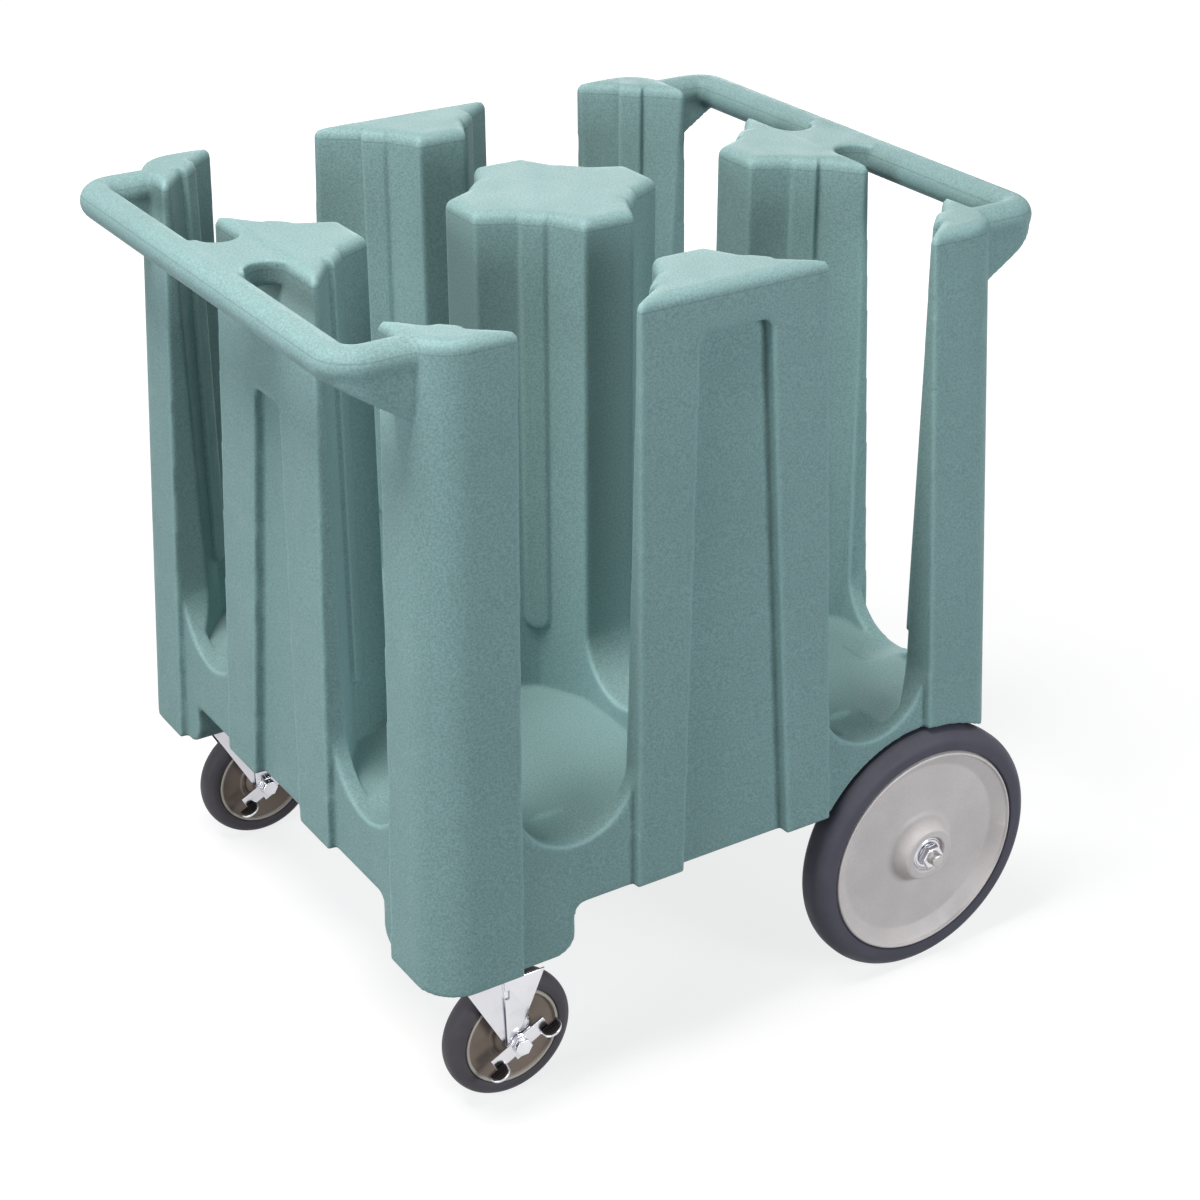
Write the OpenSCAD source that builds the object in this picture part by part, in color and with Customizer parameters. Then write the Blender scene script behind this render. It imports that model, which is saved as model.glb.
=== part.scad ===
// Plate dispenser cart: a one-piece moulded body with four plate wells, two push bars,
// a fixed rear axle with two large wheels, and two braked swivel casters.
// Origin on the floor under the middle of the body, +Z up.
// The casters are at -X, the large wheels at +X.

/* [Body] */
// Width of the body across the post tops
top_w = 566; // [556:2:580]
// Width of the body at its foot
base_w = 614; // [604:2:624]
// Height of the post tops
total_h = 734; // [690:2:800]
// Height of the flat floor of each plate well
floor_h = 266; // [262:1:284]
// Height of the underside between the wheels
belly_h = 202; // [194:1:212]
// Radius of the upright outer corners
corner_r = 38; // [30:1:44]
// Rounding of the post tops
edge_r = 9; // [5:1:11]

/* [Plate wells] */
// Diameter of the largest plate that a well takes
plate_d = 262; // [256:1:268]
// Distance between well centres
pitch = 292; // [288:1:296]
// Width of the flat nose where two wells meet
nose_w = 51; // [47:1:55]
// Width of the upright ribs that guide the plates
rib_w = 24; // [16:1:28]
// How far the ribs stand out of their valley
rib_proud = 7; // [5:0.5:9]
// Height of the lower ends of the ribs
rib_foot_h = 330; // [300:5:400]
// How far the sills between wells stand above the well floors
sill_lift = 20; // [10:1:40]

/* [Posts] */
// Width of the side posts at the top
mid_top_w = 188; // [182:1:194]
// Width of the side posts at the foot
mid_base_w = 212; // [205:1:219]
// Width of a corner post at the top
corner_top_w = 81; // [77:1:86]
// Width of a corner post at the foot
corner_base_w = 85; // [80:1:91]
// Depth of the bays between the posts
bay_depth = 8; // [5:0.5:10]
// Depth of the tapered panels in the side posts
panel_depth = 11; // [10.5:0.5:14]

/* [Push bars] */
// Diameter of the push bars
bar_d = 32; // [28:1:36]
// Clear hand space between a push bar and the posts
hand_gap = 36; // [32:1:44]
// Height of the gussets under the bar ends
gusset_h = 66; // [50:1:90]

/* [Rear wheels] */
// Diameter of the rear wheels
rear_d = 254; // [240:1:254]
// Width of the rear tyres
rear_w = 36; // [32:1:44]
// Distance from the middle of the body to the rear axle
rear_x = 220; // [208:1:226]
// Diameter of the rear axle
axle_d = 13; // [10:1:18]

/* [Casters] */
// Diameter of the caster wheels
caster_d = 127; // [112:1:128]
// Width of the caster tyres
caster_w = 26; // [22:1:32]
// Overall height of a caster
caster_h = 156; // [153:1:162]
// Distance from the swivel axis to the wheel axle
trail = 33; // [30:1:42]
// Distance from the middle of the body to the swivel axes, along the body
caster_x = 246; // [240:1:250]
// Distance from the middle of the body to the swivel axes, across the body
caster_y = 256; // [252:1:260]

/* [Brake levers] */
// Distance from the pivot to the middle of each tread
tread_reach = 30; // [26:1:36]
// Tilt of the lever when the brake is off
lever_tilt = 27; // [20:1:34]

/* [Hidden] */

// Facets of small rounds, of the body's rounds and of the wheels
$fn = 24;
small_fn = 16;
hull_fn = 32;
slot_fn = 48;
wheel_fn = 64;

// Overrun of every cut past the face that it opens
over = 1;
// Gap between seated pieces of one assembly
seat_gap = 0.05;
// Running clearance of a shaft in its bush, on the radius
run_gap = 0.08;
// Gap between the faces of pieces that turn past each other
face_gap = 0.4;

// Body
left = 1;
right = -1;
top_half = top_w / 2;
base_half = base_w / 2;
foot_h = caster_h;
flare_steps = 3;
// Sideways reach of cuts that pass outside the body
far = base_w;

// Plate wells
well_c = pitch / 2;
well_r = plate_d / 2;
throat_y = well_c - nose_w / 2;
throat_half = sqrt(well_r * well_r - throat_y * throat_y);
corner_throat = top_half - corner_top_w - well_c;
post_edge_t = 5;
slot_dip = 4;
slot_relief = 1;
outer_throat_y = top_half - post_edge_t - well_c;
valley_s = well_r + rib_proud;
valley_c = valley_s / sqrt(2);
sill_h = floor_h + sill_lift;

// Caster feet of the body
leg_len_x = 142;
leg_len_y = 112;
leg_bottom_r = 20;
leg_top_r = 12;

// Tapered panels in the side posts: upper edge below the post tops, half widths at top and foot
side_panel_drop = 40;
side_panel_top_h = total_h - side_panel_drop;
side_panel_top_half = 35;
side_panel_base_half = 56;
end_panel_drop = 135;
end_panel_top_h = total_h - end_panel_drop;
end_panel_top_half = 24.5;
end_panel_base_half = 47;
panel_corner_r = 8;

// Push bars
bar_r = bar_d / 2;
bar_x = top_half + hand_gap + bar_r;
bar_drop = 1;
bar_z = total_h - bar_r - bar_drop;
arm_y = top_half - corner_r;
bend_inner_r = 4;
bend_r = bar_r + bend_inner_r;
neck_half = 30;
neck_fillet_r = hand_gap / 2 + over;
neck_top_h = total_h - 2 * bar_drop;
root_x = top_half - edge_r - over;
gusset_inset = 1.5;
gusset_half = bar_r - gusset_inset;
gusset_tip_x = top_half + draft_at(gusset_h);
gusset_tip_z = total_h - gusset_h;
gusset_span = norm([bar_x - gusset_tip_x, bar_z - gusset_tip_z]);
gusset_slope = atan2(bar_z - gusset_tip_z, bar_x - gusset_tip_x) - asin(gusset_half / gusset_span);

// Rear wheels
rear_r = rear_d / 2;
arch_gap = 4;
arch_r = rear_r + arch_gap;
wheel_proud = 2;
rear_y = base_half + wheel_proud - rear_w / 2;
arch_wall_gap = 8;
arch_y = rear_y - rear_w / 2 - arch_wall_gap;
rear_tyre_t = 22;
rear_rim_r = rear_r - rear_tyre_t;
rear_lip_w = 6;
rear_lip_recess = 11;
rear_dish_w = 8;
rear_disc_t = 7;
rear_hub_r = 25;
rear_hub_waist_r = 28;
rear_hub_waist_h = 4;
rear_hub_foot_r = 33;
rear_hub_proud = 5.5;
rear_hub_back = 4;
rear_hub_out = rear_w / 2 + rear_hub_proud;
rear_hub_in = rear_w / 2 + rear_hub_back;
rear_hub_chamfer = 2;
rear_recess_r = 18;
rear_recess = 5;
rear_seat = rear_hub_out - rear_recess;
rear_shoulder_r = 13;
bearing_r = 15;
washer_r = 16;
washer_t = 2.5;
beam_r = 28;
beam_top_half = 46;
beam_end_gap = 5;
beam_y = arch_y - beam_end_gap;
bush_r = 14;
bush_len = 30;
bush_flange_r = 19;
bush_flange_t = 3;
rear_nut_af = 20;
rear_nut_t = 8;
axle_tip = 8;

// Casters
caster_r = caster_d / 2;
plate_l = 92;
plate_w = 62;
plate_t = 3;
plate_corner_r = 8;
screw_dx = 76;
screw_dy = 44;
screw_r = 4;
screw_len = 26;
screw_head_af = 13;
screw_head_t = 5;
screw_grip = 2;
race_r = 19;
race_t = 4.5;
race_gap_half = 0.6;
race_wall = 5;
race_cup_r = race_r + race_wall;
ball_r = 2.5;
ball_count = 8;
ball_z = caster_h - plate_t - race_t;
kingpin_r = 6;
kingpin_head_r = 9.5;
kingpin_head_t = 3;
fork_t = 3;
fork_side_gap = 3;
fork_in = caster_w / 2 + fork_side_gap;
fork_out = fork_in + fork_t;
fork_top_h = ball_z - ball_r;
fork_crown_t = 4;
fork_half_l = 23;
fork_eye_r = 12;
fork_ridge_w = 6;
fork_ridge_top = 16;
fork_ridge_low = 8;
fork_ridge_end = 15;
fork_ridge_t = 1.6;
caster_tyre_t = 16;
caster_rim_r = caster_r - caster_tyre_t;
caster_lip_w = 3.5;
caster_lip_recess = 4;
caster_disc_t = 6;
caster_hub_r = 14;
caster_hub_gap = 1;
caster_hub_half = fork_in - caster_hub_gap;
caster_shoulder_r = 10;
caster_bolt_r = 4;
sleeve_r = 6;
caster_bearing_r = 9.5;
bolt_head_af = 15;
bolt_head_t = 6;
bolt_tip = 2.5;

// Brakes
brake_plate_t = 2;
brake_plate_y = fork_out + fork_ridge_t;
brake_plate_eye_r = 11;
brake_plate_drop = 12;
brake_plate_back = 13;
brake_plate_reach = 28;
brake_plate_bend_h = 31;
brake_notch_w = 5;
brake_notch_h = 9;
brake_notch_drop = 11;
brake_plate_h = fork_top_h - brake_plate_drop;
lever_y = brake_plate_y + brake_plate_t + face_gap;
lever_t = 3;
lever_w = 15;
lever_boss_r = 10;
lever_tab_l = 10;
lever_tab_w = 5;
tread_l = 20;
tread_w = 16;
tread_t = 2.5;
pad_margin = 1.5;
pad_t = 2;
pad_ribs = 3;
pad_rib_t = 1;
pad_rib_w = 1.5;
pad_rib_step = 2.7;

// Share of the way from the post tops (0) to the foot of the body (1)
function down(z) = (total_h - z) / (total_h - foot_h);
function mix(a, b, s) = a + (b - a) * s;
// Outward lean of the body's sides at a depth below the post tops
function draft_at(h) = (base_half - top_half) * h / (total_h - foot_h);
// Half width of a side post and inner side of a corner post, at a height
function mid_half(z) = mix(mid_top_w, mid_base_w, down(z)) / 2;
function corner_side(z) = mix(top_half - corner_top_w, base_half - corner_base_w, down(z));

// Points of a plate well about its own centre. A valley and its rib lie on each diagonal.
function mirrored(p) = [p.y, p.x];
function rib_foot(throat) =
    let (valley = [valley_c, valley_c], share = rib_w / sqrt(2) / (throat.y - throat.x))
    valley + (throat - valley) * share;
function rib_edge(throat) =
    let (foot = rib_foot(throat), s = (foot.x + foot.y) / sqrt(2))
    foot - [1, 1] * (s - well_r) / sqrt(2);
function valley_points(throat, ribbed) = ribbed
    ? [rib_foot(throat), rib_edge(throat), mirrored(rib_edge(throat)), mirrored(rib_foot(throat))]
    : [[valley_c, valley_c]];
// The four corners of the well: towards the middle, two side posts and a corner post
function inner_corner(ribbed) =
    [for (p = valley_points([throat_half, throat_y], ribbed)) [-p.x, -p.y]];
function outer_corner(ribbed) = valley_points([corner_throat, outer_throat_y], ribbed);
function side_corner(ribbed) = ribbed
    ? [
        flip_x(rib_foot([throat_half, outer_throat_y])), flip_x(rib_edge([throat_half, outer_throat_y])),
        flip_x(mirrored(rib_edge([throat_half, throat_y]))), flip_x(mirrored(rib_foot([throat_half, throat_y])))
    ]
    : [[-valley_c, valley_c]];
function flip_x(p) = [-p.x, p.y];
function reversed(list) = [for (i = [len(list) - 1 : -1 : 0]) list[i]];
function well_plan(ribbed) = concat(
    [[throat_half, -throat_y], [-throat_half, -throat_y]],
    inner_corner(ribbed),
    [[-throat_y, -throat_half], [-throat_y, throat_half]],
    reversed(side_corner(ribbed)),
    [[-throat_half, outer_throat_y], [corner_throat, outer_throat_y]],
    outer_corner(ribbed),
    [[outer_throat_y, corner_throat], [outer_throat_y, -throat_half]],
    [for (p = side_corner(ribbed)) mirrored(p)]
);

module four_ways() {
    for (k = [0 : 3]) rotate([0, 0, 90 * k]) children();
}

module both_ways() {
    children();
    mirror([1, 0, 0]) children();
}

// Drafted block of the whole body with rounded upper edges
module rounded_block() {
    hull() for (sx = [-1, 1]) for (sy = [-1, 1]) {
        translate([sx * (base_half - corner_r), sy * (base_half - corner_r), foot_h])
            cylinder(r = corner_r, h = over, $fn = hull_fn);
        translate([sx * (top_half - corner_r), sy * (top_half - corner_r), total_h - edge_r])
            rotate_extrude($fn = hull_fn)
                translate([corner_r - edge_r, 0]) circle(r = edge_r, $fn = small_fn);
    }
}

// The same block drawn in by a depth, just below the rounded edges
module inner_block(inset) {
    hull() for (sx = [-1, 1]) for (sy = [-1, 1]) {
        translate([sx * (base_half - corner_r), sy * (base_half - corner_r), foot_h])
            cylinder(r = corner_r - inset, h = over, $fn = hull_fn);
        translate([sx * (top_half - corner_r), sy * (top_half - corner_r), total_h - edge_r - over])
            cylinder(r = corner_r - inset, h = over, $fn = hull_fn);
    }
}

// Bay between a side post and a corner post, as an upright outline that leans with the posts
module bay_outline(z0, z1, relief = 0) {
    polygon([
        [mid_half(z0) - relief, z0], [corner_side(z0) + relief, z0],
        [corner_side(z1) + relief, z1], [mid_half(z1) - relief, z1]
    ]);
}

// Round-over of an upper edge at x, where dir points from the post into the opening
module flare_outline(x, dir) {
    difference() {
        translate([dir > 0 ? x - edge_r : x - over, total_h - edge_r])
            square([edge_r + over, edge_r + over]);
        translate([x - dir * edge_r, total_h - edge_r]) circle(r = edge_r);
    }
}

// Round lower end of a slot: it fits between the leaning posts and dips a little below the floor.
// A slot is a little wider than its bay.
function slot_half(z) = (corner_side(z) - mid_half(z)) / 2 + slot_relief;
slot_lean = (slot_half(foot_h) - slot_half(total_h)) / (total_h - foot_h);
slot_centre_h = (floor_h - slot_dip + slot_half(total_h) + slot_lean * total_h) / (1 + slot_lean);
slot_x = (corner_side(slot_centre_h) + mid_half(slot_centre_h)) / 2;

module slot_outline() {
    translate([slot_x, slot_centre_h]) circle(r = slot_half(slot_centre_h), $fn = slot_fn);
    bay_outline(slot_centre_h, total_h + over, slot_relief);
    flare_outline(mid_half(total_h - edge_r) - slot_relief, 1);
    flare_outline(corner_side(total_h - edge_r) + slot_relief, -1);
}

module channel_outline() {
    translate([well_c, sill_h + throat_half]) circle(r = throat_half, $fn = slot_fn);
    translate([well_c - throat_half, sill_h + throat_half])
        square([2 * throat_half, total_h - sill_h - throat_half + over]);
    flare_outline(well_c - throat_half, 1);
    flare_outline(well_c + throat_half, -1);
}

// Stands an outline drawn in x and z on edge, from y0 to y1
module on_edge(y0, y1) {
    translate([0, y1, 0]) rotate([90, 0, 0]) linear_extrude(y1 - y0) children();
}

// Rib in the valley of a post, with a round lower end, about the well centre
module plate_rib() {
    rotate([0, 0, 45]) translate([well_r, 0, rib_foot_h]) rotate([90, 0, 90])
        linear_extrude(rib_proud + rib_w) {
            translate([0, rib_w / 2]) circle(r = rib_w / 2);
            translate([-rib_w / 2, rib_w / 2]) square([rib_w, total_h - rib_foot_h + over]);
        }
}

// Rounding of the post tops seen from inside a well: its height and the well's growth at an angle
function flare_h(a) = total_h - edge_r * (1 - sin(a));
function flare_size(a) = 1 + edge_r * (1 - cos(a)) / well_r;

// One cone of the rounding, from below its lower edge to above the posts
module flare_step(a0, a1) {
    growth = (flare_size(a1) - flare_size(a0)) / (flare_h(a1) - flare_h(a0));
    low = flare_size(a0) - growth * over;
    high = flare_size(a1) + growth * (total_h + over - flare_h(a1));
    translate([0, 0, flare_h(a0) - over])
        linear_extrude(total_h - flare_h(a0) + 2 * over, scale = high / low)
            scale(low) polygon(well_plan(true));
}

// Space of one plate well, opening out at the top with the rounding of the posts
module well_space() {
    difference() {
        translate([0, 0, floor_h]) linear_extrude(total_h - floor_h + over) polygon(well_plan(false));
        four_ways() plate_rib();
    }
    for (i = [0 : flare_steps - 1]) flare_step(90 * i / flare_steps, 90 * (i + 1) / flare_steps);
}

// Tapered panel cut into a side post, drawn in x and z
module panel_outline(top_z, half_top, half_base) {
    slope = (half_base - half_top) / (top_z - belly_h);
    low_z = foot_h - over;
    half_low = half_base + (belly_h - low_z) * slope;
    round_x = half_top - panel_corner_r;
    round_z = top_z - panel_corner_r;
    polygon([
        [-half_low, low_z], [half_low, low_z],
        [half_top + panel_corner_r * slope, round_z], [-half_top - panel_corner_r * slope, round_z]
    ]);
    translate([-round_x, round_z - panel_corner_r]) square([2 * round_x, 2 * panel_corner_r]);
    for (s = [-1, 1]) translate([s * round_x, round_z]) circle(r = panel_corner_r);
}

module panels() {
    for (a = [0, 180]) rotate([0, 0, a])
        on_edge(well_c, far) panel_outline(side_panel_top_h, side_panel_top_half, side_panel_base_half);
    for (a = [90, 270]) rotate([0, 0, a])
        on_edge(well_c, far) panel_outline(end_panel_top_h, end_panel_top_half, end_panel_base_half);
}

module bays() {
    four_ways() both_ways() on_edge(well_c, far) bay_outline(foot_h - over, total_h + over);
}

// Opening under the body beside a leg whose upright side stands at x0
module leg_cut_outline(x0, x1) {
    translate([x0, 0]) square([x1 - x0, belly_h - leg_top_r]);
    translate([x0 + leg_top_r, 0]) square([x1 - x0 - leg_top_r, belly_h]);
    translate([x0 + leg_top_r, belly_h - leg_top_r]) circle(r = leg_top_r);
    difference() {
        translate([x0 - leg_bottom_r, 0]) square([leg_bottom_r + over, foot_h + leg_bottom_r]);
        translate([x0 - leg_bottom_r, foot_h + leg_bottom_r]) circle(r = leg_bottom_r);
    }
}

module underside_cuts() {
    leg_x = leg_len_x - base_half;
    leg_y = leg_len_y - base_half;
    on_edge(-far, far) leg_cut_outline(leg_x, far);
    rotate([0, 0, 90]) on_edge(-far, far) both_ways_flat() leg_cut_outline(leg_y, over);
}

module both_ways_flat() {
    children();
    mirror([1, 0]) children();
}

module wheel_arches() {
    for (y = [arch_y, -far]) translate([rear_x, y, rear_r])
        rotate([-90, 0, 0]) cylinder(r = arch_r, h = far - arch_y, $fn = wheel_fn);
}

// Beam under the floor that carries the rear axle
module axle_beam() {
    on_edge(-beam_y, beam_y) {
        translate([rear_x, rear_r]) circle(r = beam_r, $fn = hull_fn);
        polygon([
            [rear_x - beam_r, rear_r], [rear_x + beam_r, rear_r],
            [rear_x + beam_top_half, belly_h + over], [rear_x - beam_top_half, belly_h + over]
        ]);
    }
}

module axle_hole() {
    translate([rear_x, -beam_y - over, rear_r]) rotate([-90, 0, 0])
        cylinder(r = axle_d / 2 + over, h = 2 * (beam_y + over));
    for (s = [left, right]) translate([rear_x, s * (beam_y - bush_len), rear_r])
        rotate([-90 * s, 0, 0]) cylinder(r = bush_r + seat_gap, h = bush_len + over);
}

// Push bar at the +X end: straight bar, two bends, two arms with gussets, and a neck
module push_bar() {
    bend_x = bar_x - bend_r;
    bend_y = arm_y - bend_r;
    translate([bar_x, -bend_y, bar_z]) rotate([-90, 0, 0])
        cylinder(r = bar_r, h = 2 * bend_y, $fn = hull_fn);
    push_arm(bend_x, bend_y);
    mirror([0, 1, 0]) push_arm(bend_x, bend_y);
    translate([0, 0, bar_z - bar_r / 2]) linear_extrude(neck_top_h - bar_z + bar_r / 2) neck_plan();
}

module push_arm(bend_x, bend_y) {
    translate([bend_x, bend_y, bar_z]) rotate_extrude(angle = 90, $fn = hull_fn)
        translate([bend_r, 0]) circle(r = bar_r, $fn = hull_fn);
    translate([root_x, arm_y, bar_z]) rotate([0, 90, 0])
        cylinder(r = bar_r, h = bend_x - root_x, $fn = hull_fn);
    intersection() {
        on_edge(arm_y - gusset_half, arm_y + gusset_half) polygon([
            [root_x, bar_z], [bar_x, bar_z],
            [bar_x + gusset_half * sin(gusset_slope), bar_z - gusset_half * cos(gusset_slope)],
            [gusset_tip_x, gusset_tip_z], [root_x, gusset_tip_z]
        ]);
        translate([0, 0, foot_h]) linear_extrude(total_h - foot_h) {
            square([bend_x, far]);
            translate([bend_x, bend_y]) circle(r = bend_r + gusset_half, $fn = slot_fn);
        }
    }
}

module neck_plan() {
    difference() {
        translate([root_x, -neck_half - neck_fillet_r])
            square([bar_x - root_x, 2 * (neck_half + neck_fillet_r)]);
        for (s = [-1, 1]) translate([top_half + hand_gap / 2, s * (neck_half + neck_fillet_r)])
            circle(r = neck_fillet_r);
    }
}

module screw_holes() {
    for (s = [left, right]) translate([-caster_x, s * caster_y, foot_h - over]) screw_places()
        cylinder(r = screw_r + seat_gap, h = screw_len + over);
}

// Block of the body before its openings: panels sunk in the side posts, bays between the posts
module posts_and_base() {
    inner_block(panel_depth);
    difference() {
        inner_block(bay_depth);
        panels();
    }
    difference() {
        rounded_block();
        bays();
        panels();
    }
}

module body_moulding() {
    color("#7FA5A1") difference() {
        union() {
            difference() {
                posts_and_base();
                four_ways() both_ways() on_edge(well_c + valley_c + over, far) slot_outline();
                four_ways() rotate([0, 0, -90])
                    on_edge(-nose_w / 2 - over, nose_w / 2 + over) channel_outline();
                underside_cuts();
                wheel_arches();
                screw_holes();
            }
            push_bar();
            rotate([0, 0, 180]) push_bar();
        }
        four_ways() translate([well_c, well_c, 0]) well_space();
    }
    color("#7FA5A1") difference() {
        axle_beam();
        axle_hole();
    }
}

// Rear axle and wheels. A wheel is drawn about its own centre with its outer side towards +Z.
module rear_axle() {
    half = rear_y + rear_seat + face_gap + washer_t + rear_nut_t + axle_tip;
    color("silver") translate([rear_x, -half, rear_r]) rotate([-90, 0, 0])
        cylinder(r = axle_d / 2, h = 2 * half);
}

module axle_bushes() {
    color("dimgray") for (s = [left, right]) translate([rear_x, s * beam_y, rear_r])
        rotate([-90 * s, 0, 0]) difference() {
            union() {
                translate([0, 0, -bush_len]) cylinder(r = bush_r, h = bush_len + over);
                translate([0, 0, seat_gap]) cylinder(r = bush_flange_r, h = bush_flange_t);
            }
            translate([0, 0, -bush_len - over])
                cylinder(r = axle_d / 2 + seat_gap, h = bush_len + bush_flange_t + 2 * over);
        }
}

module at_rear_wheel(s) {
    translate([rear_x, s * rear_y, rear_r]) rotate([-90 * s, 0, 0]) children();
}

module tyre_profile(r_in, r_out, w, shoulder) {
    translate([r_in, -w / 2]) square([r_out - shoulder - r_in, w]);
    translate([r_in, -w / 2 + shoulder]) square([r_out - r_in, w - 2 * shoulder]);
    for (s = [-1, 1]) translate([r_out - shoulder, s * (w / 2 - shoulder)])
        circle(r = shoulder, $fn = small_fn);
}

module rear_tyre(s) {
    color("#4A4C55") at_rear_wheel(s) rotate_extrude($fn = wheel_fn)
        tyre_profile(rear_rim_r + seat_gap, rear_r, rear_w, rear_shoulder_r);
}

// Rim with raised lips, a dished disc and a hub with a recess for the nut
module rear_rim(s) {
    half = rear_w / 2;
    face = half - rear_lip_recess;
    back = face - rear_disc_t;
    lip_r = rear_rim_r - rear_lip_w;
    disc_r = lip_r - rear_dish_w;
    color("#B9ABA6") at_rear_wheel(s) difference() {
        rotate_extrude($fn = wheel_fn) polygon([
            [rear_rim_r, -half], [rear_rim_r, half], [lip_r, half],
            [lip_r, half - rear_lip_recess / 2], [disc_r, face],
            [rear_hub_foot_r, face], [rear_hub_waist_r, face + rear_hub_waist_h],
            [rear_hub_r, rear_hub_out - rear_hub_chamfer], [rear_hub_r - rear_hub_chamfer, rear_hub_out],
            [rear_recess_r, rear_hub_out], [rear_recess_r, rear_seat], [bearing_r - over, rear_seat],
            [bearing_r - over, -rear_hub_in], [rear_hub_r, -rear_hub_in],
            [rear_hub_foot_r, back], [disc_r, back], [lip_r, back - rear_disc_t], [lip_r, -half]
        ]);
        translate([0, 0, -rear_hub_in - over])
            cylinder(r = bearing_r, h = rear_hub_in + rear_hub_out + 2 * over);
    }
}

module ring(r_in, r_out, h) {
    difference() {
        cylinder(r = r_out, h = h);
        translate([0, 0, -over]) cylinder(r = r_in, h = h + 2 * over);
    }
}

module rear_bearing(s) {
    color("silver") at_rear_wheel(s) translate([0, 0, -rear_hub_in])
        ring(axle_d / 2 + run_gap, bearing_r - seat_gap, rear_hub_in + rear_seat);
}

module rear_washers(s) {
    inner_space = rear_y - rear_hub_in - beam_y - bush_flange_t - 2 * seat_gap - face_gap;
    color("silver") at_rear_wheel(s) {
        translate([0, 0, rear_seat + face_gap]) ring(axle_d / 2 + seat_gap, washer_r, washer_t);
        translate([0, 0, -rear_hub_in - face_gap - inner_space])
            ring(axle_d / 2 + seat_gap, washer_r, inner_space);
    }
}

module hex_nut(r_in, af, t) {
    difference() {
        cylinder(d = af / cos(30), h = t, $fn = 6);
        translate([0, 0, -over]) cylinder(r = r_in, h = t + 2 * over);
    }
}

module rear_nut(s) {
    color("gainsboro") at_rear_wheel(s) translate([0, 0, rear_seat + face_gap + washer_t + seat_gap])
        hex_nut(axle_d / 2 + seat_gap, rear_nut_af, rear_nut_t);
}

// Casters, drawn about the swivel axis. Their wheel parts have the brake side towards +Z.
module at_caster(s) {
    translate([-caster_x, s * caster_y, 0]) children();
}

module at_caster_wheel(s) {
    at_caster(s) translate([trail, 0, caster_r]) rotate([90, 0, 0]) children();
}

module screw_places() {
    for (sx = [-1, 1]) for (sy = [-1, 1])
        translate([sx * screw_dx / 2, sy * screw_dy / 2, 0]) children();
}

module plate_plan() {
    square([plate_l - 2 * plate_corner_r, plate_w], center = true);
    square([plate_l, plate_w - 2 * plate_corner_r], center = true);
    for (sx = [-1, 1]) for (sy = [-1, 1])
        translate([sx * (plate_l / 2 - plate_corner_r), sy * (plate_w / 2 - plate_corner_r)])
            circle(r = plate_corner_r);
}

// Groove that the balls run in, as a ring about the swivel axis
module ball_groove() {
    translate([0, 0, ball_z]) rotate_extrude() translate([race_r, 0]) circle(r = ball_r + run_gap);
}

module caster_plate(s) {
    plate_z = caster_h - plate_t;
    color("silver") at_caster(s) difference() {
        union() {
            translate([0, 0, plate_z]) linear_extrude(plate_t - seat_gap) plate_plan();
            translate([0, 0, ball_z + race_gap_half]) cylinder(r = race_cup_r, h = race_t);
        }
        ball_groove();
        translate([0, 0, ball_z]) cylinder(r = kingpin_r + seat_gap, h = caster_h - ball_z);
        translate([0, 0, caster_h - kingpin_head_t - seat_gap])
            cylinder(r = kingpin_head_r + seat_gap, h = kingpin_head_t + over);
        translate([0, 0, plate_z - over]) screw_places()
            cylinder(r = screw_r + seat_gap, h = plate_t + 2 * over);
    }
}

module caster_screws(s) {
    head_z = caster_h - plate_t - seat_gap - screw_head_t;
    color("gainsboro") at_caster(s) screw_places() {
        translate([0, 0, head_z]) cylinder(d = screw_head_af / cos(30), h = screw_head_t, $fn = 6);
        translate([0, 0, head_z + screw_grip])
            cylinder(r = screw_r, h = screw_len + plate_t + seat_gap + screw_head_t - 2 * screw_grip);
    }
}

module caster_kingpin(s) {
    low_z = fork_top_h - fork_crown_t - face_gap - kingpin_head_t;
    top_z = caster_h - seat_gap;
    color("silver") at_caster(s) {
        translate([0, 0, low_z]) cylinder(r = kingpin_r, h = top_z - low_z);
        translate([0, 0, low_z]) cylinder(r = kingpin_head_r, h = kingpin_head_t);
        translate([0, 0, top_z - kingpin_head_t]) cylinder(r = kingpin_head_r, h = kingpin_head_t);
    }
}

module caster_balls(s) {
    color("whitesmoke") at_caster(s) for (k = [0 : ball_count - 1])
        rotate([0, 0, 360 * k / ball_count]) translate([race_r, 0, ball_z])
            sphere(r = ball_r, $fn = small_fn);
}

// One side of the stamped fork, drawn in x and z about the swivel axis
module fork_side_outline() {
    translate([trail, caster_r]) circle(r = fork_eye_r);
    polygon([
        [-fork_half_l, fork_top_h], [fork_half_l, fork_top_h],
        [trail + fork_eye_r, caster_r], [trail - fork_eye_r, caster_r]
    ]);
}

module fork_ridge_outline() {
    polygon([
        [trail - fork_ridge_top, fork_top_h], [trail - fork_ridge_top + fork_ridge_w, fork_top_h],
        [trail - fork_ridge_low + fork_ridge_w, caster_r + fork_ridge_end],
        [trail - fork_ridge_low, caster_r + fork_ridge_end]
    ]);
}

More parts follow.
